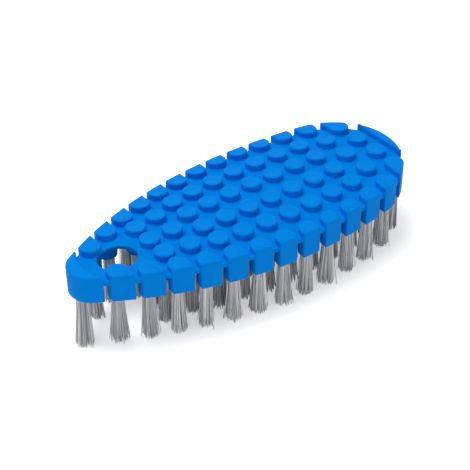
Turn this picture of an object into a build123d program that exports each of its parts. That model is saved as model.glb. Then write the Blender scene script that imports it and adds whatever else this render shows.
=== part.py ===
from build123d import *
import math
import os

# Palm scrubbing brush with a flexible body. The body is one soft moulding: a thin crowned web that
# carries round pads in rows across it and flat-walled blocks round its edge. Under each pad and block
# a socket holds a tuft of filaments, folded over a flat wire anchor. The web bends along the grooves
# between the rows, so each row is a piece of its own here, joined to the next by a living hinge.
#
# Frame: millimetres, X along the brush from the narrow hanging end to the wide end, Y across, Z up.
# The origin is on the plane of the bristle tips, under the middle of the body's length.

# Outline of the body, seen from above
body_length = 154.0
body_width = 64.0
widest_from_end = 62.2
nose_radius = 9.1
end_shoulder = 3.0

# Heights of the body, on its centre line
overall_height = 33.0
pad_height = 2.8
web_thickness = 1.7
socket_height = 7.1
crown_drop = 2.0

# Rows across the body: the grooves widen a little from the narrow end to the wide end
stations = 13
first_station_from_nose = 14.7
last_station_from_end = 10.5
pitch_growth = 0.1
pads_by_row = (3, 3, 4, 4, 4, 4, 4, 4, 4, 3, 2)
hanging_stations = 2

# Pads and edge blocks: both are as wide as a share of the first pitch, a block's head and tuft are inset
# from the nearer corner of its wall, and the pads' places are shares of the distance from the centre line
# to the head
pad_width_share = 0.785
pad_rounding = 0.45
head_inset = 2.3
last_head_inset = 1.1
edge_tuft_inset = 3.1
web_inset = 0.8
pad_place_shares = {2: (0.331,), 3: (0.0, 0.51), 4: (0.21, 0.602)}

# Hanging end and wide end
hole_before_first_station = 1.9
hole_before_first_groove = 1.45
hole_width = 13.6
cap_length = 8.6
cap_hollow = 2.9
cap_tuft_from_nose = 4.7
strip_thickness = 3.5

# Living hinges
hinge_gap = 0.6

# Tufts and their anchors: the strands' sizes are shares of the tuft's radius
socket_wall = 1.55
tuft_clearance = 0.05
tuft_hole_depth = 8.0
tuft_stand_out = 0.4
strand_radius_share = 0.245
strand_ring_share = 0.67
strand_tip_share = 0.98
strands_in_ring = 6
strand_sides = 4
anchor_thickness = 0.4
anchor_height = 1.8
anchor_bite = 0.6
anchor_clearance = 0.02
anchor_cover = 1.2

# Places that follow from the sizes above
nose_x = -body_length / 2
end_x = body_length / 2
half_width = body_width / 2
end_radius = half_width - end_shoulder
widest_x = end_x - widest_from_end
nose_centre_x = nose_x + nose_radius
end_centre_x = end_x - end_radius
body_height = pad_height + web_thickness + socket_height
crown_radius = (half_width**2 + crown_drop**2) / (2 * crown_drop)
crown_axis_z = overall_height - crown_radius
mean_pitch = (body_length - first_station_from_nose - last_station_from_end) / (stations - 1)
first_pitch = mean_pitch - pitch_growth * (stations - 2) / 2
pad_radius = first_pitch * pad_width_share / 2
block_width = 2 * pad_radius
tuft_radius = pad_radius - socket_wall
strand_radius = tuft_radius * strand_radius_share
strand_ring_radius = tuft_radius * strand_ring_share
strand_tip_radius = tuft_radius * strand_tip_share
cap_tuft_x = nose_x + cap_tuft_from_nose
overrun = body_height


def flank_radius(round_x, round_radius):
    """Radius of the flank that is level at the widest point and tangent to an end's round."""
    reach = round_x - widest_x
    return (reach**2 + half_width**2 - round_radius**2) / (2 * (half_width - round_radius))


def tangent_point(round_x, round_radius):
    """Where a flank runs into the round of an end."""
    flank = flank_radius(round_x, round_radius)
    towards = Vector(round_x - widest_x, flank - half_width).normalized()
    return Vector(round_x, 0) + towards * round_radius


def wall_y(x):
    """Half width of the outline at a place along it."""
    for round_x, round_radius, outward in (
        (nose_centre_x, nose_radius, -1),
        (end_centre_x, end_radius, 1),
    ):
        touch = tangent_point(round_x, round_radius)
        if (x - touch.X) * outward > 0:
            return math.sqrt(round_radius**2 - (x - round_x) ** 2)
        if (x - widest_x) * outward >= 0:
            flank = flank_radius(round_x, round_radius)
            return half_width - flank + math.sqrt(flank**2 - (x - widest_x) ** 2)


def crown_z(y, depth):
    """Height of the crowned surface that lies a given depth under the top of the pads."""
    return crown_axis_z + math.sqrt((crown_radius - depth) ** 2 - y**2)


# Stations, grooves and tuft places
station_x = [nose_x + first_station_from_nose]
for step in range(stations - 1):
    station_x.append(station_x[-1] + first_pitch + step * pitch_growth)
groove_x = [
    (station_x[place] + station_x[place + 1]) / 2
    for place in range(hanging_stations - 1, stations - 1)
]
hinge_z = crown_z(0, pad_height + web_thickness / 2) - crown_drop / 2
hole_start_x = station_x[0] - hole_before_first_station
hole_end_x = groove_x[0] - hole_before_first_groove
hole_x = (hole_start_x + hole_end_x) / 2
hole_length = hole_end_x - hole_start_x


def edge_y(station, inset):
    """Distance from the centre line of a place in an edge block. The last pair has an inset of its own."""
    if station == stations - 1:
        inset = last_head_inset
    x = station_x[station]
    return min(wall_y(x - block_width / 2), wall_y(x + block_width / 2)) - inset


def pad_places(station):
    """Centres of the round pads of one row."""
    if station < hanging_stations:
        return []
    shares = pad_place_shares[pads_by_row[station - hanging_stations]]
    offsets = [share * edge_y(station, head_inset) for share in shares]
    offsets += [-offset for offset in offsets if offset > 0]
    return [(station_x[station], offset) for offset in sorted(offsets)]


def edge_places(station, inset):
    """Places in the two edge blocks of one row: their heads or their tufts."""
    return [(station_x[station], side * edge_y(station, inset)) for side in (-1, 1)]


# The outline, whole and drawn in to the edge of the web
with BuildSketch() as outline:
    with BuildLine():
        for round_x, round_radius, tip_x in (
            (nose_centre_x, nose_radius, nose_x),
            (end_centre_x, end_radius, end_x),
        ):
            touch = tangent_point(round_x, round_radius)
            half_x = (touch.X + widest_x) / 2
            ThreePointArc((touch.X, -touch.Y), (tip_x, 0), (touch.X, touch.Y))
            for side in (-1, 1):
                ThreePointArc(
                    (touch.X, side * touch.Y),
                    (half_x, side * wall_y(half_x)),
                    (widest_x, side * half_width),
                )
    make_face()

with BuildSketch() as web_outline:
    add(outline.sketch)
    offset(amount=-web_inset, kind=Kind.INTERSECTION)
    with Locations((hole_x, 0)):
        Ellipse(hole_length / 2, hole_width / 2, mode=Mode.SUBTRACT)


def crown_section(top_depth, bottom_depth):
    """Crowned layer of the body as a section across it, at the narrow end."""
    with BuildSketch(Plane.YZ.offset(nose_x)) as section:
        with Locations((0, crown_axis_z)):
            Circle(crown_radius - top_depth)
            Circle(crown_radius - bottom_depth, mode=Mode.SUBTRACT)
        with Locations((0, overall_height)):
            Rectangle(body_width, 2 * body_height + 2 * crown_drop, mode=Mode.INTERSECT)
    return section.sketch


def raised_sketch(places):
    """Plan of the pads, blocks, cap and strip that stand on one piece of the web."""
    with BuildSketch() as plan:
        for station in places:
            with Locations(*pad_places(station), *edge_places(station, head_inset)):
                Circle(pad_radius)
            for x, y in edge_places(station, head_inset):
                with Locations((x, y + math.copysign(half_width, y) / 2)):
                    Rectangle(block_width, half_width)
        if 0 in places:
            with BuildSketch(mode=Mode.PRIVATE) as cap:
                with Locations((nose_x, 0)):
                    Rectangle(2 * cap_length, body_width)
                cap_half = wall_y(nose_x + cap_length)
                hollow_radius = (cap_half**2 + cap_hollow**2) / (2 * cap_hollow)
                with Locations((nose_x + cap_length - cap_hollow + hollow_radius, 0)):
                    Circle(hollow_radius, mode=Mode.SUBTRACT)
            add(cap.sketch)
        if stations - 1 in places:
            with Locations((end_x, 0)):
                Rectangle(2 * strip_thickness, body_width)
        add(outline.sketch, mode=Mode.INTERSECT)
    return plan.sketch


def tuft_places(places):
    """Centres of the tufts of one piece of the body."""
    centres = []
    for station in places:
        centres += pad_places(station) + edge_places(station, edge_tuft_inset)
    if 0 in places:
        centres.append((cap_tuft_x, 0))
    return centres


def anchor_z(y):
    """Underside of an anchor in its hole."""
    return crown_z(y, body_height) + tuft_hole_depth - anchor_cover - anchor_height


def cap_socket():
    """The socket under the cap, which ends at the top of the web."""
    with BuildPart() as socket:
        with BuildSketch():
            with Locations((cap_tuft_x, 0)):
                Circle(pad_radius)
            add(outline.sketch, mode=Mode.INTERSECT)
        extrude(amount=overall_height)
        socket_layer = crown_section(pad_height, body_height)
        extrude(socket_layer, amount=body_length, dir=(1, 0, 0), mode=Mode.INTERSECT)
    return socket.part


def body_piece(places, low_x, high_x):
    """One row of the body: its share of the web, with pads above it and sockets below it."""
    with BuildPart() as web:
        with BuildSketch() as strip:
            add(web_outline.sketch)
            with Locations(((low_x + high_x) / 2, 0)):
                Rectangle(high_x - low_x, body_width, mode=Mode.INTERSECT)
        extrude(amount=overall_height)
        web_layer = crown_section(pad_height, pad_height + web_thickness)
        extrude(web_layer, amount=body_length, dir=(1, 0, 0), mode=Mode.INTERSECT)
    with BuildPart() as piece:
        add(raised_sketch(places))
        extrude(amount=overall_height)
        raised_layer = crown_section(0, body_height)
        extrude(raised_layer, amount=body_length, dir=(1, 0, 0), mode=Mode.INTERSECT)
        crowned = piece.faces().filter_by(GeomType.CYLINDER)
        tops = crowned.filter_by(lambda face: abs(face.radius - crown_radius) < pad_rounding)
        rims = tops.filter_by(lambda face: len(face.edges()) == 1).edges()
        if rims:
            fillet(rims, pad_rounding)
        add(web.part)
        if 0 in places:
            add(cap_socket())
        for x, y in tuft_places(places):
            mouth = crown_z(y, body_height)
            with Locations((x, y, mouth + tuft_hole_depth)):
                Cylinder(
                    tuft_radius + tuft_clearance,
                    tuft_hole_depth + overrun,
                    align=(Align.CENTER, Align.CENTER, Align.MAX),
                    mode=Mode.SUBTRACT,
                )
            with Locations((x, y, anchor_z(y) - anchor_clearance)):
                Box(
                    2 * (tuft_radius + tuft_clearance + anchor_bite + anchor_clearance),
                    anchor_thickness + 2 * anchor_clearance,
                    anchor_height + 2 * anchor_clearance,
                    align=(Align.CENTER, Align.CENTER, Align.MIN),
                    mode=Mode.SUBTRACT,
                )
    return piece.part


def strand(x, y, angle, ring, tip_ring, top_z):
    """One four-sided filament that leans out from the root of its tuft to the tip plane."""
    outward = Vector(1, 0).rotate(Axis.Z, angle)
    start = Vector(x, y) + outward * ring
    drop = outward * (tip_ring - ring) - Vector(0, 0, top_z)
    with BuildSketch(Plane.XY.offset(top_z), mode=Mode.PRIVATE) as section:
        with Locations((start.X, start.Y)):
            RegularPolygon(strand_radius, strand_sides, rotation=angle)
    return extrude(section.sketch, amount=drop.length, dir=drop, mode=Mode.PRIVATE)


def tuft_group(places):
    """The tufts of one row: each is a packed root in its hole and the strands that leave it."""
    with BuildPart() as tufts:
        strands = []
        for x, y in tuft_places(places):
            mouth = crown_z(y, body_height)
            with Locations((x, y, mouth - tuft_stand_out)):
                Cylinder(
                    tuft_radius,
                    tuft_hole_depth + tuft_stand_out - tuft_clearance,
                    align=(Align.CENTER, Align.CENTER, Align.MIN),
                )
            with Locations((x, y, anchor_z(y) - anchor_clearance)):
                Box(
                    2 * (tuft_radius + tuft_clearance),
                    anchor_thickness + 2 * anchor_clearance,
                    anchor_height + 2 * anchor_clearance,
                    align=(Align.CENTER, Align.CENTER, Align.MIN),
                    mode=Mode.SUBTRACT,
                )
            strands.append(strand(x, y, 0, 0, 0, mouth))
            for number in range(strands_in_ring):
                angle = 360 * number / strands_in_ring
                strands.append(
                    strand(x, y, angle, strand_ring_radius, strand_tip_radius, mouth)
                )
        add(strands)
    return tufts.part


def anchor_group(places):
    """The flat wire anchors of one row, each across the root of a tuft with its ends in the socket."""
    with BuildPart() as anchors:
        for x, y in tuft_places(places):
            with Locations((x, y, anchor_z(y))):
                Box(
                    2 * (tuft_radius + tuft_clearance + anchor_bite),
                    anchor_thickness,
                    anchor_height,
                    align=(Align.CENTER, Align.CENTER, Align.MIN),
                )
    return anchors.part


# The pieces of the body from the narrow end to the wide end: name, stations and ends of the web
pieces = [("hanging_end", range(hanging_stations), nose_x, groove_x[0] - hinge_gap / 2)]
for row in range(1, len(groove_x)):
    pieces.append(
        (
            f"row_{row:02d}",
            [hanging_stations + row - 1],
            groove_x[row - 1] + hinge_gap / 2,
            groove_x[row] - hinge_gap / 2,
        )
    )
pieces.append(("wide_end", [stations - 1], groove_x[-1] + hinge_gap / 2, end_x))

os.makedirs("parts", exist_ok=True)
for name, places, low_x, high_x in pieces:
    for kind, solid in (
        ("body", body_piece(places, low_x, high_x)),
        ("tufts", tuft_group(places)),
        ("anchors", anchor_group(places)),
    ):
        solid.label = f"{kind}_{name}"
        export_step(solid, f"parts/{solid.label}.step")

print("stations", [round(x, 3) for x in station_x])
print("hinges", [round(x, 3) for x in groove_x], "height", round(hinge_z, 3))
print("hole", round(hole_x, 3), "long", round(hole_length, 3), "wide", hole_width)
print("tufts", sum(len(tuft_places(places)) for name, places, low_x, high_x in pieces))
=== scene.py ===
"""Dresses the palm brush: its blue flexible moulding, its tufts of grey filament and a white table."""

import math

import bpy
import numpy as np
from bpy.props import FloatProperty, IntProperty, PointerProperty, StringProperty
from bpy.types import Operator, Panel, PropertyGroup
from mathutils import Matrix, Vector


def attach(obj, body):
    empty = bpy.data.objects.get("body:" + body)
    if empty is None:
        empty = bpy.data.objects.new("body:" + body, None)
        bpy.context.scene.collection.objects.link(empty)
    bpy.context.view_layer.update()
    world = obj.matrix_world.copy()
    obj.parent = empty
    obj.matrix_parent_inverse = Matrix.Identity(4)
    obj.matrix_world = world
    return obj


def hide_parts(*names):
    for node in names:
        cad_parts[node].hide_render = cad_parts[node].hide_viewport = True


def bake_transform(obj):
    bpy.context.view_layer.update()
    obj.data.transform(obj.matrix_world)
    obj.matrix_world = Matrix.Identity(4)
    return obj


bl_info = {
    "name": "Palm brush",
    "version": (1, 0, 0),
    "blender": (4, 5, 0),
    "location": "3D View > Sidebar > Brush",
    "description": "Builds the moulding, tufts and table of a flexible palm brush on its packed frame",
    "category": "Object",
}

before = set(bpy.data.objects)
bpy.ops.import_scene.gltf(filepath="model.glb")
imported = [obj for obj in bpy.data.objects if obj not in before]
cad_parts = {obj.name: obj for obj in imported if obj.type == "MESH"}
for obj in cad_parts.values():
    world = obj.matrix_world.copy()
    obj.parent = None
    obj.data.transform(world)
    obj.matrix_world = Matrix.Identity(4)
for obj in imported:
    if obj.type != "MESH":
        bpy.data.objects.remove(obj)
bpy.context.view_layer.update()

MM = 0.001
GOLDEN_ANGLE = math.pi * (3 - math.sqrt(5))
PADS_BY_ROW = (3, 3, 4, 4, 4, 4, 4, 4, 4, 3, 2)
PAD_SHARES = {2: (0.331,), 3: (0.0, 0.51), 4: (0.21, 0.602)}
HANGING_STATIONS = 2
# Narrow strips beside a rounding, which keep its smooth shading off the flat next to it
TIGHT = 0.06 * MM
# Shares of the way from a pad's middle to the start of its rounded edge, where the rings of its top lie
TOP_RINGS = (0.25, 0.5, 0.66, 0.8, 0.92)
# The cap's socket starts this share of a pad's height below the tops, inside the cap
CAP_SOCKET_START = 1.4
# Strands of a tuft: shares of its drop where its rings lie, from just inside the hole to the tips
STRAND_RINGS = (-0.08, 0.0, 0.2, 0.4, 0.6, 0.8, 1.0)
STRAND_SIDES = 5
TABLE_SIDES = 96
# The outward and sideways direction in which the cap's tuft leans
CAP_TUFT_DIRECTION = (-0.6, -0.8)
KEY_LAMP = {"place": (-0.1, 0.2, 0.97), "size": 0.5}
FILL_LAMP = {"place": (-0.45, -0.85, 0.13), "size": 0.5}


def length(name, description, millimetres):
    """One size of the brush as a property that the sidebar shows as a length."""
    return FloatProperty(
        name=name, description=description, default=millimetres * MM, unit="LENGTH", precision=5
    )


def camera_angle(name, description, degrees):
    """An angle as a property that the sidebar shows in degrees."""
    return FloatProperty(name=name, description=description, default=math.radians(degrees), subtype="ANGLE")


class BrushBody(PropertyGroup):
    """Sizes of the moulding's outline, heights and rows."""

    body_length: length("Length", "Length of the moulding from end to end", 154.0)
    body_width: length("Width", "Width of the moulding where it is widest", 64.0)
    widest_from_end: length("Widest place", "Distance of the widest place from the wide end", 62.2)
    nose_radius: length("Nose radius", "Radius of the narrow end, seen from above", 9.1)
    end_shoulder: length("End shoulder", "How much smaller than half the width the wide end's radius is", 3.0)
    overall_height: length("Height", "Height of the brush from its bristle tips to its highest pads", 33.0)
    pad_height: length("Pad height", "Height of the pads above the web", 2.8)
    web_thickness: length("Web thickness", "Thickness of the flexible web", 1.7)
    socket_height: length("Socket height", "Height of the tuft sockets below the web", 7.1)
    crown_drop: length("Crown", "How far the long edges lie below the middle", 2.0)
    web_inset: length("Web inset", "How far the web's edge stands back from the block walls", 0.8)
    web_rounding: length("Web rounding", "Radius along the edges of the web", 0.5)
    first_station: length("First row", "Distance of the first pair of blocks from the narrow end", 14.7)
    last_station: length("Last row", "Distance of the last pair of blocks from the wide end", 10.5)
    pitch_growth: length("Pitch growth", "How much each pitch is longer than the one before", 0.1)
    hole_before_row: length("Hole start", "How far before the first row the hanging hole starts", 1.9)
    hole_before_groove: length("Hole end", "How far before the first groove the hanging hole ends", 1.45)
    hole_width: length("Hole width", "Size of the hanging hole across the brush", 13.6)


class BrushPads(PropertyGroup):
    """Sizes of the pads, edge blocks, cap and strip."""

    pad_width_share: FloatProperty(
        name="Pad width", description="Width of a pad and of a block over the first pitch", default=0.785
    )
    pad_rounding: length("Edge rounding", "Radius along the top edges of pads and blocks", 0.6)
    foot_rounding: length("Foot rounding", "Radius where a pad meets the web", 0.45)
    low_rounding: length("Lower rounding", "Radius along the lower edges of sockets and blocks", 0.45)
    draft: length("Draft", "How much narrower a socket is at its mouth than at the web", 0.08)
    corner_rounding: length("Corner rounding", "Radius of a block's upright corners", 0.5)
    dish: length("Dish", "Depth of the shallow dish in the top of a pad", 0.22)
    head_inset: length("Head inset", "Distance of a block's head centre from its wall's nearer corner", 2.3)
    last_head_inset: length("Last head inset", "The same for the last pair at the wide end", 1.1)
    edge_tuft_inset: length("Edge tuft inset", "Distance of a block's tuft from its wall's nearer corner", 3.1)
    cap_length: length("Cap length", "Length of the cap at its corners", 8.6)
    cap_hollow: length("Cap hollow", "Depth of the hollow in the cap's inner side", 2.9)
    cap_shoulder: length("Cap shoulder", "Width of the cap's flat ends beside the hollow", 1.2)
    cap_tuft_from_nose: length("Cap tuft", "Distance of the cap's tuft from the narrow end", 4.7)
    strip_thickness: length("Strip thickness", "Thickness of the end strip at its middle", 3.5)


class BrushTufts(PropertyGroup):
    """Sizes of the tufts."""

    socket_wall: length("Socket wall", "How much smaller a tuft's radius is than a pad's", 1.55)
    tip_radius: length("Tip radius", "Radius of a tuft at its tips", 3.2)
    hole_depth: length("Hole depth", "Depth of the shadowed hole that shows round a tuft", 2.5)
    filament_diameter: length("Filament diameter", "Thickness of one filament", 0.3)
    trim: length("Trim", "Unevenness of the trimmed tips", 0.4)
    wander: length("Wander", "How far a filament's tip strays from its even place", 0.75)
    lean: length("Lean", "How far a whole tuft leans at its tips", 0.7)
    cap_tuft_lean: length("Cap tuft lean", "How far the cap's tuft leans outwards and to one side", 3.0)
    stray_reach: length("Stray reach", "How far the few stray filaments stand out", 2.3)
    filaments: IntProperty(name="Filaments", description="Filaments in one tuft", default=108, min=1)
    strays: IntProperty(name="Strays", description="Stray filaments in one tuft", default=4, min=0)
    seed: IntProperty(name="Seed", description="Start of the random numbers", default=7)


class BrushFinish(PropertyGroup):
    """Colours and grain of the finishes."""

    body_colour: StringProperty(name="Moulding", description="Colour of the moulding", default="#0086E4")
    body_deep_colour: StringProperty(
        name="Moulding, deep", description="Colour in its darker clouds", default="#007EDB"
    )
    filament_light: StringProperty(name="Filament, light", description="Palest filament", default="#FAFAF8")
    filament_dark: StringProperty(name="Filament, dark", description="Darkest filament", default="#8E929C")
    anchor_colour: StringProperty(name="Anchor", description="Colour of the anchor wire", default="#B8B6B0")
    table_colour: StringProperty(name="Table", description="Colour of the table", default="#EFEFEF")
    grain: length("Grain", "Size of the fine grain that the mould leaves", 0.25)
    cloud: length("Cloud", "Size of the soft unevenness of the moulding", 6.0)
    draw_line: length("Draw lines", "Width of the lines along a filament", 0.12)


class BrushStage(PropertyGroup):
    """Camera, lamps and table."""

    azimuth: camera_angle("Azimuth", "Camera's turn about the brush", -37.05)
    elevation: camera_angle("Elevation", "Camera's height angle", 36.39)
    roll: camera_angle("Roll", "Camera's turn about its own axis", -0.29)
    distance: length("Distance", "Distance of the camera from its target", 495.4)
    target_x: length("Target X", "Place that the camera looks at, along the brush", -15.7)
    target_y: length("Target Y", "Place that the camera looks at, across the brush", -18.45)
    target_z: length("Target Z", "Place that the camera looks at, in height", 33.0)
    lens: FloatProperty(name="Lens", description="Focal length on a 36 mm sensor", default=101.4)
    key_power: FloatProperty(name="Key", description="Power of the lamp overhead", default=6.6, unit="POWER")
    fill_power: FloatProperty(name="Fill", description="Power of the lamp in front", default=0.9, unit="POWER")
    tent_walls: FloatProperty(name="Tent walls", description="Strength of light from the sides", default=1.45)
    tent_roof: FloatProperty(name="Tent roof", description="Strength of light from overhead", default=0.3)
    table_glow: FloatProperty(
        name="Table glow", description="White that the camera and reflections see on the table", default=0.48
    )
    table_radius: length("Table radius", "Radius of the table", 4000.0)


GROUPS = {
    "brush_body": BrushBody,
    "brush_pads": BrushPads,
    "brush_tufts": BrushTufts,
    "brush_finish": BrushFinish,
    "brush_stage": BrushStage,
}


class Plan:
    """The brush's places, worked out from its sizes."""

    def __init__(self, scene):
        self.body = scene.brush_body
        self.pads = scene.brush_pads
        body = self.body
        self.nose_x = -body.body_length / 2
        self.end_x = body.body_length / 2
        self.half_width = body.body_width / 2
        self.widest_x = self.end_x - body.widest_from_end
        self.nose_centre = self.nose_x + body.nose_radius
        self.end_radius = self.half_width - body.end_shoulder
        self.end_centre = self.end_x - self.end_radius
        self.height = body.pad_height + body.web_thickness + body.socket_height
        self.crown_radius = (self.half_width**2 + body.crown_drop**2) / (2 * body.crown_drop)
        self.crown_axis = body.overall_height - self.crown_radius
        self.cap_tuft_x = self.nose_x + self.pads.cap_tuft_from_nose
        count = len(PADS_BY_ROW) + HANGING_STATIONS
        mean_pitch = (body.body_length - body.first_station - body.last_station) / (count - 1)
        first_pitch = mean_pitch - body.pitch_growth * (count - 2) / 2
        steps = first_pitch + body.pitch_growth * np.arange(count - 1)
        self.stations = self.nose_x + body.first_station + np.concatenate(([0.0], np.cumsum(steps)))
        middles = (self.stations[1:] + self.stations[:-1]) / 2
        self.grooves = middles[HANGING_STATIONS - 1 :]
        hole_ends = (self.stations[0] - body.hole_before_row, self.grooves[0] - body.hole_before_groove)
        self.hole_x = sum(hole_ends) / 2
        self.hole_length = hole_ends[1] - hole_ends[0]
        self.pad_radius = first_pitch * self.pads.pad_width_share / 2
        self.block_width = 2 * self.pad_radius
        self.tuft_radius = self.pad_radius - scene.brush_tufts.socket_wall

    def flank(self, round_x, round_radius):
        """Radius of the flank: level at the widest place and tangent to an end's round."""
        reach = round_x - self.widest_x
        return (reach**2 + self.half_width**2 - round_radius**2) / (2 * (self.half_width - round_radius))

    def wall(self, x):
        """Half width of the outline at x: a round at each end, and a long arc from each to the widest
        place."""
        x = np.asarray(x, float)
        y = np.zeros_like(x)
        ends = ((self.nose_centre, self.body.nose_radius, -1), (self.end_centre, self.end_radius, 1))
        for round_x, round_radius, outward in ends:
            flank = self.flank(round_x, round_radius)
            towards = Vector((round_x - self.widest_x, flank - self.half_width)).normalized()
            touch_x = round_x + towards.x * round_radius
            on_round = (x - touch_x) * outward > 0
            on_flank = ((x - self.widest_x) * outward >= 0) & ~on_round
            round_y = np.sqrt(np.maximum(round_radius**2 - (x - round_x) ** 2, 0))
            rise = np.sqrt(np.maximum(flank**2 - (x - self.widest_x) ** 2, 0))
            flank_y = self.half_width - flank + rise
            y = np.where(on_round, round_y, np.where(on_flank, flank_y, y))
        return y

    def crown(self, y, depth):
        """Height of the crowned surface that lies depth below the tops: a circle about a line along X."""
        return self.crown_axis + np.sqrt((self.crown_radius - depth) ** 2 - y**2)

    def edge_y(self, station, inset):
        """Distance from the centre line of a place in an edge block. The last pair has an inset of its
        own."""
        if station == len(self.stations) - 1:
            inset = self.pads.last_head_inset
        corners = self.stations[station] + self.block_width / 2 * np.array([-1, 1])
        return float(self.wall(corners).min()) - inset

    def pad_places(self, station):
        """Centres of the round pads of one row."""
        if station < HANGING_STATIONS:
            return []
        shares = PAD_SHARES[PADS_BY_ROW[station - HANGING_STATIONS]]
        head = self.edge_y(station, self.pads.head_inset)
        offsets = sorted({side * share * head for share in shares for side in (-1, 1)})
        return [(float(self.stations[station]), offset) for offset in offsets]

    def edge_tufts(self, station):
        """Centres of the tufts of a row's two edge blocks."""
        across = self.edge_y(station, self.pads.edge_tuft_inset)
        return [(float(self.stations[station]), side * across) for side in (-1, 1)]

    def bands(self):
        """Body name and stations of each piece of the moulding, from the narrow end."""
        count = len(self.grooves)
        names = ["hanging_end"] + [f"row_{row:02d}" for row in range(1, count)] + ["wide_end"]
        stations = [list(range(HANGING_STATIONS))] + [[HANGING_STATIONS + row] for row in range(count)]
        return list(zip(names, stations))

    def tufts(self, stations):
        """Centres of the tufts of one piece of the moulding."""
        places = []
        for station in stations:
            places += self.pad_places(station) + self.edge_tufts(station)
        if 0 in stations:
            places.append((self.cap_tuft_x, 0.0))
        return places


def linear(hex_colour):
    """A colour for a shader from its sRGB hex value, channel by channel through the sRGB curve."""
    channels = [int(hex_colour[place : place + 2], 16) / 255 for place in (1, 3, 5)]
    return [c / 12.92 if c <= 0.04045 else ((c + 0.055) / 1.055) ** 2.4 for c in channels] + [1.0]


def add_node(tree, kind, settings=None, values=None, links=None):
    """Adds a node, sets its own settings and its inputs' values, and links its inputs to other nodes'
    outputs."""
    node = tree.nodes.new(kind)
    for name, value in (settings or {}).items():
        setattr(node, name, value)
    for name, value in (values or {}).items():
        node.inputs[name].default_value = value
    for name, (source, output) in (links or {}).items():
        tree.links.new(source.outputs[output], node.inputs[name])
    return node


def noise(tree, size, detail, vector):
    """A noise whose features are about the given size, read at the coordinates of another node."""
    return add_node(
        tree, "ShaderNodeTexNoise", values={"Scale": 1 / size, "Detail": detail}, links={"Vector": vector}
    )


def new_material(name):
    """An empty node material and its tree."""
    material = bpy.data.materials.new(name)
    material.use_nodes = True
    material.node_tree.nodes.clear()
    return material, material.node_tree


def soft_moulding(finish):
    """Injection moulded soft polypropylene blend: coloured right through, with a fine matt grain from the
    mould, a broad soft sheen, faint flow clouds, and a little light carried under the surface at thin
    edges."""
    material, tree = new_material("injection_moulded_soft_plastic")
    place = add_node(tree, "ShaderNodeTexCoord")
    cloud = noise(tree, finish.cloud, 2.0, (place, "Object"))
    grain = noise(tree, finish.grain, 3.0, (place, "Object"))
    colour = add_node(
        tree,
        "ShaderNodeMix",
        {"data_type": "RGBA"},
        {"A": linear(finish.body_deep_colour), "B": linear(finish.body_colour)},
        {"Factor": (cloud, "Fac")},
    )
    gloss = add_node(
        tree, "ShaderNodeMapRange", values={"To Min": 0.55, "To Max": 0.72}, links={"Value": (cloud, "Fac")}
    )
    fine = add_node(
        tree,
        "ShaderNodeBump",
        values={"Strength": 0.25, "Distance": 0.05 * MM},
        links={"Height": (grain, "Fac")},
    )
    soft = add_node(
        tree,
        "ShaderNodeBump",
        values={"Strength": 0.4, "Distance": 0.25 * MM},
        links={"Height": (cloud, "Fac"), "Normal": (fine, "Normal")},
    )
    shader = add_node(
        tree,
        "ShaderNodeBsdfPrincipled",
        values={
            "IOR": 1.49,
            "Specular IOR Level": 0.06,
            "Specular Tint": (0.0, 0.5, 1.0, 1.0),
            "Subsurface Weight": 0.06,
            "Subsurface Radius": (0.1, 0.35, 1.0),
            "Subsurface Scale": 1.0 * MM,
        },
        links={"Base Color": (colour, "Result"), "Roughness": (gloss, "Result"), "Normal": (soft, "Normal")},
    )
    add_node(tree, "ShaderNodeOutputMaterial", links={"Surface": (shader, "BSDF")})
    return material


def extruded_filament(finish):
    """Extruded and drawn grey polypropylene filament: waxy, faintly clear, with fine lines along it from the
    die, and a shade of its own in each filament of a tuft."""
    material, tree = new_material("extruded_polypropylene_filament")
    place = add_node(tree, "ShaderNodeTexCoord")
    shade = add_node(tree, "ShaderNodeAttribute", {"attribute_name": "filament_shade"})
    # The lines run down the filament, so the pattern is stretched along Z
    along = add_node(
        tree, "ShaderNodeMapping", values={"Scale": (1.0, 1.0, 0.06)}, links={"Vector": (place, "Object")}
    )
    lines = noise(tree, finish.draw_line, 1.0, (along, "Vector"))
    uneven = add_node(
        tree,
        "ShaderNodeMapRange",
        values={"From Min": 0.3, "From Max": 0.7, "To Min": -0.12, "To Max": 0.12},
        links={"Value": (lines, "Fac")},
    )
    mixed = add_node(
        tree,
        "ShaderNodeMath",
        {"operation": "ADD", "use_clamp": True},
        links={0: (shade, "Fac"), 1: (uneven, "Result")},
    )
    colour = add_node(
        tree,
        "ShaderNodeMix",
        {"data_type": "RGBA"},
        {"A": linear(finish.filament_dark), "B": linear(finish.filament_light)},
        {"Factor": (mixed, "Value")},
    )
    bump = add_node(
        tree,
        "ShaderNodeBump",
        values={"Strength": 0.2, "Distance": 0.02 * MM},
        links={"Height": (lines, "Fac")},
    )
    shader = add_node(
        tree,
        "ShaderNodeBsdfPrincipled",
        values={"Roughness": 0.38, "IOR": 1.49, "Subsurface Weight": 0.15, "Subsurface Scale": 0.4 * MM},
        links={"Base Color": (colour, "Result"), "Normal": (bump, "Normal")},
    )
    add_node(tree, "ShaderNodeOutputMaterial", links={"Surface": (shader, "BSDF")})
    return material


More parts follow.
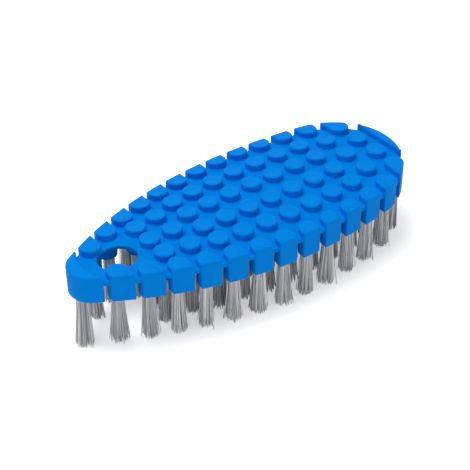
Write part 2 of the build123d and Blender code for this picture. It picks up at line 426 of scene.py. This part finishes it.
def flat_steel_wire(finish):
    """Flat rolled mild steel wire, tinned: a dull grey metal with fine rolling lines along it."""
    material, tree = new_material("flat_rolled_steel_wire")
    place = add_node(tree, "ShaderNodeTexCoord")
    along = add_node(
        tree, "ShaderNodeMapping", values={"Scale": (0.1, 1.0, 1.0)}, links={"Vector": (place, "Object")}
    )
    lines = noise(tree, finish.draw_line, 2.0, (along, "Vector"))
    rough = add_node(
        tree, "ShaderNodeMapRange", values={"To Min": 0.3, "To Max": 0.5}, links={"Value": (lines, "Fac")}
    )
    shader = add_node(
        tree,
        "ShaderNodeBsdfPrincipled",
        values={"Base Color": linear(finish.anchor_colour), "Metallic": 1.0},
        links={"Roughness": (rough, "Result")},
    )
    add_node(tree, "ShaderNodeOutputMaterial", links={"Surface": (shader, "BSDF")})
    return material


def white_table(finish, stage):
    """Matt white laminate: diffuse, and lifted to the photograph's white for the camera and in
    reflections."""
    material, tree = new_material("matt_white_laminate")
    place = add_node(tree, "ShaderNodeTexCoord")
    grain = noise(tree, finish.cloud, 2.0, (place, "Object"))
    rough = add_node(
        tree, "ShaderNodeMapRange", values={"To Min": 0.75, "To Max": 0.85}, links={"Value": (grain, "Fac")}
    )
    shader = add_node(
        tree,
        "ShaderNodeBsdfPrincipled",
        values={"Base Color": linear(finish.table_colour), "Specular IOR Level": 0.2},
        links={"Roughness": (rough, "Result")},
    )
    path = add_node(tree, "ShaderNodeLightPath")
    seen = add_node(
        tree,
        "ShaderNodeMath",
        {"operation": "MAXIMUM"},
        links={0: (path, "Is Camera Ray"), 1: (path, "Is Glossy Ray")},
    )
    strength = add_node(
        tree, "ShaderNodeMath", {"operation": "MULTIPLY"}, {1: stage.table_glow}, {0: (seen, "Value")}
    )
    glow = add_node(
        tree, "ShaderNodeEmission", values={"Color": (1, 1, 1, 1)}, links={"Strength": (strength, "Value")}
    )
    both = add_node(tree, "ShaderNodeAddShader", links={0: (shader, "BSDF"), 1: (glow, "Emission")})
    add_node(tree, "ShaderNodeOutputMaterial", links={"Surface": (both, "Shader")})
    return material


def material_named(name, make, *settings):
    """The material of that name, made the first time that it is needed."""
    return bpy.data.materials.get(name) or make(*settings)


def make_object(name, vertices, faces, material):
    """A smooth shaded mesh object at the origin, from an array of vertices and a list of faces."""
    mesh = bpy.data.meshes.new(name)
    mesh.from_pydata(vertices.tolist(), [], faces)
    mesh.polygons.foreach_set("use_smooth", np.ones(len(mesh.polygons), bool))
    mesh.materials.append(material)
    mesh.update()
    piece = bpy.data.objects.new(name, mesh)
    bpy.context.scene.collection.objects.link(piece)
    return piece


def ring_faces(levels, points, start=0):
    """Faces between closed rings: each quad joins a point, the one below it, and their neighbours along."""
    level, point = np.meshgrid(np.arange(levels - 1), np.arange(points), indexing="ij")
    beside = (point + 1) % points
    upper, lower = level * points, (level + 1) * points
    corners = [upper + point, lower + point, lower + beside, upper + beside]
    return start + np.stack(corners, -1).reshape(-1, 4)


def fan_faces(pole, ring_start, points, upward):
    """Triangles from a pole to a ring, in the order that faces them outwards."""
    point = np.arange(points)
    beside = (point + 1) % points
    ends = (ring_start + point, ring_start + beside) if upward else (ring_start + beside, ring_start + point)
    return np.stack([np.full(points, pole), *ends], -1)


def circle_plan(centre, radius, points=44):
    """Closed plan of a round pad: centre plus radius times cosine and sine, anticlockwise."""
    turn = np.linspace(0, 2 * np.pi, points, endpoint=False)
    return np.stack([centre[0] + radius * np.cos(turn), centre[1] + radius * np.sin(turn)], -1)


def corner_curve(before, corner, after, points=6):
    """Rounds a corner: the quadratic Bezier curve from a point before it to one after it, pulled to it."""
    t = np.linspace(0, 1, points)[:, None]
    return (1 - t) ** 2 * before + 2 * t * (1 - t) * corner + t**2 * after


def block_plan(plan, station, side):
    """Closed plan of an edge block: half a circle for its head, straight flanks, rounded corners, and a
    wall that follows the outline. It is drawn on the far side and mirrored for the near side."""
    pads = plan.pads
    x = plan.stations[station]
    head = plan.edge_y(station, pads.head_inset)
    half = plan.block_width / 2
    rounding = pads.corner_rounding
    turn = np.linspace(np.pi, 2 * np.pi, 22)
    nose = np.stack([x + half * np.cos(turn), head + plan.pad_radius * np.sin(turn)], -1)
    low_x, high_x = x - half, x + half
    along = np.linspace(high_x - rounding, low_x + rounding, 14)
    wall = np.stack([along, plan.wall(along)], -1)
    corners = []
    for corner_x in (high_x, low_x):
        corner_y = float(plan.wall(corner_x))
        corners.append((np.array([corner_x, corner_y]), np.array([corner_x, corner_y - rounding])))
    right = corner_curve(corners[0][1], corners[0][0], wall[0])[:-1]
    left = corner_curve(wall[-1], corners[1][0], corners[1][1])[1:]
    flank_share = np.array([0.35, 0.7])[:, None]
    right_flank = nose[-1] + (corners[0][1] - nose[-1]) * flank_share
    left_flank = corners[1][1] + (nose[0] - corners[1][1]) * flank_share
    loop = np.concatenate([nose, right_flank, right, wall, left, left_flank])
    return loop if side > 0 else (loop * (1, -1))[::-1]


def cap_plan(plan):
    """Closed plan of the cap: the outline round the narrow end, and a hollow arc between its two corners."""
    pads = plan.pads
    corner_x = plan.nose_x + pads.cap_length
    half = float(plan.wall(corner_x))
    rounding = pads.corner_rounding
    # Places along the nose are spaced by a cosine, so that they crowd where it turns
    turn = np.linspace(0.0, np.pi, 49)
    share = (1 + np.cos(turn)) / 2
    x = plan.nose_x + (corner_x - rounding - plan.nose_x) * np.abs(2 * share - 1) ** 2
    y = plan.wall(x) * np.where(share > 0.5, 1, -1)
    nose = np.stack([x, y], -1)
    reach = half - pads.cap_shoulder
    across = np.linspace(-reach, reach, 22)
    hollow_radius = (reach**2 + pads.cap_hollow**2) / (2 * pads.cap_hollow)
    hollow_x = corner_x - pads.cap_hollow + hollow_radius - np.sqrt(hollow_radius**2 - across**2)
    hollow = np.stack([hollow_x, across], -1)
    low = corner_curve(nose[-1], np.array([corner_x, -half]), hollow[0])[1:-1]
    high = corner_curve(hollow[-1], np.array([corner_x, half]), nose[0])[1:-1]
    return np.concatenate([nose, low, hollow, high])


def strip_plan(plan):
    """Closed plan of the end strip: the outline round the wide end and a straight back."""
    pads = plan.pads
    back_x = plan.end_x - pads.strip_thickness
    half = float(plan.wall(back_x))
    rounding = pads.corner_rounding
    y = np.linspace(-half + rounding, half - rounding, 44)
    radius = plan.end_radius
    x = plan.end_centre + np.sqrt(radius**2 - y**2)
    arc = np.stack([x, y], -1)
    back_y = np.linspace(half - 1.6 * rounding, -half + 1.6 * rounding, 18)
    back = np.stack([np.full_like(back_y, back_x), back_y], -1)
    high = corner_curve(arc[-1], np.array([back_x, half]), back[0])[1:-1]
    low = corner_curve(back[-1], np.array([back_x, -half]), arc[0])[1:-1]
    return np.concatenate([arc, high, back, low])


def inward(loop):
    """Unit normals of a closed anticlockwise loop, pointing into it: its tangent turned a quarter to the
    left."""
    tangent = np.roll(loop, -1, 0) - np.roll(loop, 1, 0)
    tangent /= np.linalg.norm(tangent, axis=1)[:, None]
    return np.stack([-tangent[:, 1], tangent[:, 0]], -1)


def stud_surface(plan, loop, centre, hole_radius, hole_depth, start_depth=0.0, dish=0.0):
    """Closed surface of a pad, block, cap or strip with the socket below it. Each level is the plan loop,
    drawn in by an inset and set at a depth under the crown: a rounded top edge, a side that flares into
    the web, a lower side with draft, a rounded lower edge, and the hole of the tuft. A dish sinks the top
    by a cosine of the distance from its middle. Returns its vertices and faces."""
    body, pads = plan.body, plan.pads
    centre = np.array(centre, float)
    normals = inward(loop)
    quarter = np.linspace(0, np.pi / 2, 6)
    top, foot, low = pads.pad_rounding, pads.foot_rounding, pads.low_rounding
    bottom = plan.height
    web_top = body.pad_height
    # The foot flares only where there is web beside it, and not on the outer wall
    clear = plan.wall(loop[:, 0]) - np.abs(loop[:, 1])
    flare = np.clip((clear - body.web_inset) / (0.6 * MM), 0, 1)
    levels = []
    if start_depth == 0:
        levels += [(top + TIGHT, 0.0, 0.0)]
        levels += [(top * (1 - np.sin(a)), top * (1 - np.cos(a)), 0.0) for a in quarter]
        levels += [(0.0, top + TIGHT, 0.0), (0.0, web_top - foot - TIGHT, 0.0)]
        levels += [(0.0, web_top - foot * (1 - np.sin(a)), foot * (1 - np.cos(a))) for a in quarter[1:]]
        levels += [(0.0, web_top + TIGHT, foot)]
    else:
        levels += [(0.0, start_depth, 0.0)]
    under = web_top + body.web_thickness
    levels += [(0.0, under - 2 * TIGHT, 0.0), (0.0, under + foot, 0.0)]
    levels += [(pads.draft, bottom - low - TIGHT, 0.0)]
    levels += [(pads.draft + low * (1 - np.cos(a)), bottom - low * (1 - np.sin(a)), 0.0) for a in quarter]
    levels += [(pads.draft + low + TIGHT, bottom, 0.0)]
    rings = []
    for inset, depth, out in levels:
        ring = loop + normals * (inset - out * flare)[:, None]
        rings.append(np.column_stack([ring, plan.crown(ring[:, 1], depth)]))
    first = rings[0]
    inner = []
    for share in TOP_RINGS:
        ring = centre + (first[:, :2] - centre) * share
        sunk = dish * (1 + np.cos(np.pi * share)) / 2
        inner.append(np.column_stack([ring, plan.crown(ring[:, 1], start_depth + sunk)]))
    outer_last = rings[-1]
    if hole_radius:
        angle = np.arctan2(loop[:, 1] - centre[1], loop[:, 0] - centre[0])
        mouth = plan.crown(centre[1], bottom)
        # The mouth of the hole is rounded by a quarter of a millimetre, in three rings, and its wall goes up
        mouth_rings = ((0.25 * MM, 0.0), (0.07 * MM, 0.07 * MM), (0.0, 0.25 * MM), (0.0, hole_depth))
        for wider, height in mouth_rings:
            radius = hole_radius + wider
            x = centre[0] + radius * np.cos(angle)
            y = centre[1] + radius * np.sin(angle)
            base = plan.crown(y, bottom) if height == 0 else np.full_like(x, mouth)
            rings.append(np.column_stack([x, y, base + height]))
        low_pole = np.array([[centre[0], centre[1], mouth + hole_depth]])
    else:
        for share in (0.75, 0.4):
            ring = centre + (outer_last[:, :2] - centre) * share
            rings.append(np.column_stack([ring, plan.crown(ring[:, 1], bottom)]))
        low_pole = np.array([[centre[0], centre[1], plan.crown(centre[1], bottom)]])
    top_pole = np.array([[centre[0], centre[1], plan.crown(centre[1], start_depth + dish)]])
    stacked = inner + rings
    points = len(loop)
    vertices = np.concatenate([top_pole, *stacked, low_pole])
    sides = ring_faces(len(stacked), points, start=1)
    last = 1 + (len(stacked) - 1) * points
    faces = fan_faces(0, 1, points, True).tolist() + sides.tolist()
    faces += fan_faces(len(vertices) - 1, last, points, False).tolist()
    return vertices, faces


def join_surfaces(surfaces):
    """One list of vertices and faces from several, with the later faces counted on."""
    vertices, faces, start = [], [], 0
    for some, others in surfaces:
        vertices.append(some)
        faces += [[corner + start for corner in face] for face in others]
        start += len(some)
    return np.concatenate(vertices), faces


def web_section(plan, x, across=46):
    """Closed sections of the web, one at each x: out along the crowned top, round the edge, back
    underneath and round the other edge. Returns an array of sections by points by three."""
    body = plan.body
    rounding = body.web_rounding
    quarter = np.linspace(0, np.pi / 2, 5)
    top, bottom = body.pad_height, body.pad_height + body.web_thickness
    half = (plan.wall(x) - body.web_inset)[:, None]
    share = np.sin(np.linspace(-np.pi / 2, np.pi / 2, across))[None, :]
    flat = (half - rounding) * share
    edge_out = rounding * np.sin(quarter)[None, :]
    edge_down = rounding * (1 - np.cos(quarter))[None, :]
    right_top = half - rounding + edge_out
    right_low = right_top[:, ::-1]
    inner = flat[:, 1:-1]
    y = np.concatenate([inner, right_top, right_low, inner[:, ::-1], -right_top, -right_low], 1)
    ones = np.ones_like(half)
    depth = np.concatenate(
        [
            ones * np.full((1, across - 2), top),
            ones * (top + edge_down),
            ones * (bottom - edge_down[:, ::-1]),
            ones * np.full((1, across - 2), bottom),
            ones * (bottom - edge_down),
            ones * (top + edge_down[:, ::-1]),
        ],
        1,
    )
    z = plan.crown(y, depth)
    return np.stack([np.broadcast_to(x[:, None], y.shape), y, z], -1)


def web_surface(plan, low_x, high_x, steps=22):
    """Closed surface of a stretch of web: its section carried along X, with a face over each end."""
    x = np.linspace(low_x, high_x, steps)
    sections = web_section(plan, x)
    points = sections.shape[1]
    vertices = sections.reshape(-1, 3)
    sides = ring_faces(steps, points)
    faces = sides.tolist()
    faces.append(list(range(points)))
    faces.append(list(range((steps - 1) * points, steps * points))[::-1])
    return vertices, faces


def hanging_web_surface(plan, high_x):
    """Closed surface of the web round the hanging hole: a ring whose section runs from the hole's rim out
    over the top to the web's edge and back underneath, carried round the hole by angle."""
    body = plan.body
    turn = np.linspace(0, 2 * np.pi, 180, endpoint=False)
    hole = np.stack([plan.hole_length / 2 * np.cos(turn), body.hole_width / 2 * np.sin(turn)], -1)
    angle = np.arctan2(hole[:, 1], hole[:, 0])
    # The web's edge is sampled round the hole and looked up by angle
    low_x = plan.nose_x + body.web_inset
    edge_x = low_x + (high_x - low_x) * np.linspace(0, 1, 4000) ** 2
    edge_y = np.maximum(plan.wall(edge_x) - body.web_inset, 0)
    end_y = np.linspace(edge_y[-1], 0, 800)
    end_x = np.full_like(end_y, high_x)
    edge = np.concatenate([np.stack([edge_x, edge_y], -1), np.stack([end_x, end_y], -1)])
    edge_angle = np.arctan2(edge[:, 1], edge[:, 0] - plan.hole_x)
    order = np.argsort(edge_angle)
    distance = np.hypot(edge[:, 0] - plan.hole_x, edge[:, 1])
    reach = np.interp(np.abs(angle), edge_angle[order], distance[order])
    outer = reach[:, None] * np.stack([np.cos(angle), np.sin(angle)], -1)
    rounding = body.web_rounding
    quarter = np.linspace(0, np.pi / 2, 5)
    top, bottom = body.pad_height, body.pad_height + body.web_thickness
    span = reach - np.hypot(hole[:, 0], hole[:, 1])
    rim = rounding / span
    share, depth = [], []
    for a in quarter:
        share.append(rim * (1 - np.sin(a)))
        depth.append(top + rounding * (1 - np.cos(a)))
    share, depth = share[::-1], depth[::-1]
    for step in np.linspace(0, 1, 9)[1:]:
        share.append(rim + (1 - rim) * step)
        depth.append(top)
    for step in np.linspace(0, 1, 9)[::-1]:
        share.append(rim + (1 - rim) * step)
        depth.append(bottom)
    for a in quarter[1:]:
        share.append(rim * (1 - np.sin(a)))
        depth.append(bottom - rounding * (1 - np.cos(a)))
    share = np.stack(share, -1)
    depth = np.broadcast_to(np.array(depth), share.shape)
    place = hole[:, None, :] + (outer - hole)[:, None, :] * share[..., None]
    x = plan.hole_x + place[..., 0]
    y = place[..., 1]
    sections = np.stack([x, y, plan.crown(y, depth)], -1)
    points = sections.shape[1]
    count = len(turn)
    around, point = np.meshgrid(np.arange(count), np.arange(points), indexing="ij")
    beyond, beside = (around + 1) % count, (point + 1) % points
    here, there = around * points, beyond * points
    faces = np.stack([here + point, here + beside, there + beside, there + point], -1).reshape(-1, 4)
    return sections.reshape(-1, 3), faces.tolist()


def tuft_surface(plan, tufts, place, random):
    """One tuft. Filaments start on a sunflower pattern in the hole and lean outwards as they go down: their
    sideways place is the root's plus the lean times a curve of the drop. Returns vertices, faces and a
    shade for each vertex."""
    count = tufts.filaments
    number = np.arange(count)
    spot = np.sqrt((number + 0.5) / count)
    turn = number * GOLDEN_ANGLE + random.uniform(0, 2 * np.pi)
    packed = (plan.tuft_radius - tufts.filament_diameter / 2) * spot
    root = np.stack([packed * np.cos(turn), packed * np.sin(turn)], -1)
    direction = np.stack([np.cos(turn), np.sin(turn)], -1)
    spread = tufts.tip_radius * random.uniform(0.85, 1.15)
    tip = direction * (spread * spot)[:, None] + random.normal(0, tufts.wander / 2, (count, 2))
    lean_turn = random.uniform(0, 2 * np.pi)
    tip += random.uniform(0.2, 1) * tufts.lean * np.array([0.6 * np.cos(lean_turn), np.sin(lean_turn)])
    if place[0] == plan.cap_tuft_x:
        tip += tufts.cap_tuft_lean * np.array(CAP_TUFT_DIRECTION)
    stray = random.choice(count, tufts.strays, replace=False)
    tip[stray] += direction[stray] * tufts.stray_reach * random.uniform(0.5, 1, (len(stray), 1)) * (0.5, 1.0)
    mouth = float(plan.crown(place[1], plan.height))
    ends = np.abs(random.normal(0, tufts.trim / 2, count))
    drop = np.array(STRAND_RINGS)
    bend = random.uniform(0.45, 0.9, count)[:, None]
    moved = np.clip(drop, 0, 1)[None, :]
    curve = bend * moved + (1 - bend) * moved**2
    middle = root[:, None, :] + (tip - root)[:, None, :] * curve[..., None]
    height = mouth + (ends - mouth)[:, None] * drop[None, :]
    sides = STRAND_SIDES
    round_turn = np.linspace(0, 2 * np.pi, sides, endpoint=False)
    radius = tufts.filament_diameter / 2
    ring = radius * np.stack([np.cos(round_turn), np.sin(round_turn)], -1)
    xy = np.array(place) + middle[:, :, None, :] + ring[None, None]
    z = np.broadcast_to(height[:, :, None], xy.shape[:3])
    vertices = np.concatenate([xy, z[..., None]], -1)
    levels = len(drop)
    one = ring_faces(levels, sides)
    starts = (number * levels * sides)[:, None, None]
    quads = (starts + one[None]).reshape(-1, 4).tolist()
    lids = starts[:, :, 0] + np.arange(sides)[None]
    tips = starts[:, :, 0] + (levels - 1) * sides + np.arange(sides)[::-1][None]
    shade = np.clip(random.normal(0.55, 0.36, count), 0, 1)
    shades = np.repeat(shade, levels * sides)
    return vertices.reshape(-1, 3), quads + lids.tolist() + tips.tolist(), shades


class BRUSH_OT_rows(Operator):
    """Builds the pads, blocks, cap, strip and sockets of each row of the moulding"""

    bl_idname = "brush.rows"
    bl_label = "Build rows"

    def execute(self, context):
        scene = context.scene
        plan = Plan(scene)
        finish, tufts = scene.brush_finish, scene.brush_tufts
        material = material_named("injection_moulded_soft_plastic", soft_moulding, finish)
        hole = plan.tuft_radius + 0.05 * MM
        depth = tufts.hole_depth
        for band, stations in plan.bands():
            surfaces = []
            for station in stations:
                for place in plan.pad_places(station):
                    loop = circle_plan(place, plan.pad_radius)
                    surfaces.append(stud_surface(plan, loop, place, hole, depth, dish=plan.pads.dish))
                for side, place in zip((-1, 1), plan.edge_tufts(station)):
                    loop = block_plan(plan, station, side)
                    surfaces.append(stud_surface(plan, loop, place, hole, depth))
            if band == "hanging_end":
                cap = cap_plan(plan)
                surfaces.append(stud_surface(plan, cap, (plan.nose_x + 0.45 * plan.pads.cap_length, 0), 0, 0))
                place = (plan.cap_tuft_x, 0.0)
                socket = circle_plan(place, plan.pad_radius)
                start = CAP_SOCKET_START * plan.body.pad_height
                surfaces.append(stud_surface(plan, socket, place, hole, depth, start))
            if band == "wide_end":
                strip = strip_plan(plan)
                middle = (plan.end_x - 0.5 * plan.pads.strip_thickness, 0)
                surfaces.append(stud_surface(plan, strip, middle, 0, 0))
            piece = make_object(f"pads_{band}", *join_surfaces(surfaces), material)
            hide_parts(f"body_{band}")
            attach(piece, band)
        return {"FINISHED"}


class BRUSH_OT_web(Operator):
    """Builds the web: a stretch across each groove, and the two ends"""

    bl_idname = "brush.web"
    bl_label = "Build web"

    def execute(self, context):
        plan = Plan(context.scene)
        material = material_named("injection_moulded_soft_plastic", soft_moulding, context.scene.brush_finish)
        bands = [band for band, stations in plan.bands()]
        stations = plan.stations[HANGING_STATIONS - 1 :]
        for number, groove in enumerate(plan.grooves):
            low_x, high_x = stations[number], stations[number + 1]
            if number == 0:
                low_x = plan.hole_x + plan.hole_length / 2 + plan.body.web_rounding + 0.3 * MM
            name = f"web_{bands[number]}_to_{bands[number + 1]}"
            piece = make_object(name, *web_surface(plan, low_x, high_x), material)
            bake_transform(piece)
            if number == 0:
                rest = make_object("web_hanging_end", *hanging_web_surface(plan, low_x), material)
                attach(rest, bands[0])
        back_x = plan.end_x - plan.pads.strip_thickness / 2
        last = make_object("web_wide_end", *web_surface(plan, stations[-1], back_x), material)
        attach(last, bands[-1])
        return {"FINISHED"}


class BRUSH_OT_tufts(Operator):
    """Builds the tufts of grey filament under each row"""

    bl_idname = "brush.tufts"
    bl_label = "Build tufts"

    def execute(self, context):
        scene = context.scene
        plan = Plan(scene)
        tufts = scene.brush_tufts
        material = material_named("extruded_polypropylene_filament", extruded_filament, scene.brush_finish)
        random = np.random.default_rng(tufts.seed)
        for band, stations in plan.bands():
            made = [tuft_surface(plan, tufts, place, random) for place in plan.tufts(stations)]
            vertices, faces = join_surfaces([(vertices, faces) for vertices, faces, shades in made])
            piece = make_object(f"filaments_{band}", vertices, faces, material)
            shade = piece.data.attributes.new("filament_shade", "FLOAT", "POINT")
            shade.data.foreach_set("value", np.concatenate([shades for *surface, shades in made]))
            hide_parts(f"tufts_{band}")
            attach(piece, band)
        return {"FINISHED"}


class BRUSH_OT_anchors(Operator):
    """Gives the anchors, which lie inside the sockets, the finish of their wire"""

    bl_idname = "brush.anchors"
    bl_label = "Finish anchors"

    def execute(self, context):
        material = material_named("flat_rolled_steel_wire", flat_steel_wire, context.scene.brush_finish)
        for name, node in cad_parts.items():
            if name.startswith("anchors_"):
                node.data.materials.clear()
                node.data.materials.append(material)
        return {"FINISHED"}


class BRUSH_OT_stage(Operator):
    """Sets the table, the lamps, the room light and the camera"""

    bl_idname = "brush.stage"
    bl_label = "Set the stage"

    def execute(self, context):
        scene = context.scene
        settings = scene.brush_stage
        material = white_table(scene.brush_finish, settings)
        rim = circle_plan((0.0, 0.0), settings.table_radius, TABLE_SIDES)
        corners = np.column_stack([np.concatenate([[[0.0, 0.0]], rim]), np.zeros(TABLE_SIDES + 1)])
        table = make_object("table", corners, fan_faces(0, 1, TABLE_SIDES, True).tolist(), material)
        self.lamp(scene, "key_lamp", settings.key_power, **KEY_LAMP)
        self.lamp(scene, "fill_lamp", settings.fill_power, **FILL_LAMP)
        self.room_light(scene, settings)
        self.camera(scene, settings)
        scene.view_settings.view_transform = "Standard"
        return {"FINISHED"}

    def lamp(self, scene, name, power, place, size):
        """A square area lamp at a place, turned to the brush."""
        light = bpy.data.lights.new(name, "AREA")
        light.energy = power
        light.size = size
        lamp = bpy.data.objects.new(name, light)
        lamp.location = place
        lamp.rotation_euler = (-Vector(place)).to_track_quat("-Z", "Y").to_euler()
        scene.collection.objects.link(lamp)

    def room_light(self, scene, settings):
        """A white light tent: its light on the brush falls from the walls' strength at the horizon to the
        roof's a third of the way up, and the camera sees it plain white."""
        world = bpy.data.worlds.new("white_room")
        scene.world = world
        world.use_nodes = True
        tree = world.node_tree
        tree.nodes.clear()
        path = add_node(tree, "ShaderNodeLightPath")
        seen = add_node(
            tree,
            "ShaderNodeMath",
            {"operation": "MAXIMUM"},
            links={0: (path, "Is Camera Ray"), 1: (path, "Is Transmission Ray")},
        )
        towards = add_node(tree, "ShaderNodeTexCoord")
        height = add_node(tree, "ShaderNodeSeparateXYZ", links={"Vector": (towards, "Generated")})
        light = add_node(
            tree,
            "ShaderNodeMapRange",
            values={"From Max": 0.5, "To Min": settings.tent_walls, "To Max": settings.tent_roof},
            links={"Value": (height, "Z")},
        )
        strength = add_node(
            tree, "ShaderNodeMix", values={"B": 1.0}, links={"Factor": (seen, "Value"), "A": (light, "Result")}
        )
        sky = add_node(
            tree,
            "ShaderNodeBackground",
            values={"Color": (1, 1, 1, 1)},
            links={"Strength": (strength, "Result")},
        )
        add_node(tree, "ShaderNodeOutputWorld", links={"Surface": (sky, "Background")})

    def camera(self, scene, settings):
        """A camera at the photograph's place: back from its target by azimuth and elevation, then rolled."""
        lens = bpy.data.cameras.new("camera")
        lens.lens = settings.lens
        lens.sensor_width = 36.0
        lens.clip_end = 20.0
        camera = bpy.data.objects.new("camera", lens)
        azimuth, elevation = settings.azimuth, settings.elevation
        back = Vector(
            (
                math.sin(azimuth) * math.cos(elevation),
                -math.cos(azimuth) * math.cos(elevation),
                math.sin(elevation),
            )
        )
        right = Vector((math.cos(azimuth), math.sin(azimuth), 0.0))
        up = back.cross(right)
        turned = Matrix((right, up, back)).transposed().to_4x4() @ Matrix.Rotation(settings.roll, 4, "Z")
        target = Vector((settings.target_x, settings.target_y, settings.target_z))
        camera.matrix_world = Matrix.Translation(target + back * settings.distance) @ turned
        scene.collection.objects.link(camera)
        scene.camera = camera


class BRUSH_PT_sidebar(Panel):
    """Lists the brush's sizes, finishes and steps"""

    bl_idname = "BRUSH_PT_sidebar"
    bl_label = "Palm brush"
    bl_space_type = "VIEW_3D"
    bl_region_type = "UI"
    bl_category = "Brush"

    def draw(self, context):
        layout = self.layout
        for name, group in GROUPS.items():
            box = layout.box()
            box.label(text=group.__doc__)
            for field in group.__annotations__:
                box.prop(getattr(context.scene, name), field)
        for step in STEPS:
            layout.operator(step.bl_idname)


STEPS = (BRUSH_OT_rows, BRUSH_OT_web, BRUSH_OT_tufts, BRUSH_OT_anchors, BRUSH_OT_stage)
CLASSES = (*GROUPS.values(), *STEPS, BRUSH_PT_sidebar)


def register():
    """Adds the classes and the scene's settings."""
    for kind in CLASSES:
        bpy.utils.register_class(kind)
    for name, group in GROUPS.items():
        setattr(bpy.types.Scene, name, PointerProperty(type=group))


def unregister():
    """Takes the settings and the classes away again."""
    for name in GROUPS:
        delattr(bpy.types.Scene, name)
    for kind in reversed(CLASSES):
        bpy.utils.unregister_class(kind)


def main():
    """Builds the brush and its stage."""
    register()
    bpy.ops.brush.rows()
    bpy.ops.brush.web()
    bpy.ops.brush.tufts()
    bpy.ops.brush.anchors()
    bpy.ops.brush.stage()


if __name__ == "__main__":
    main()
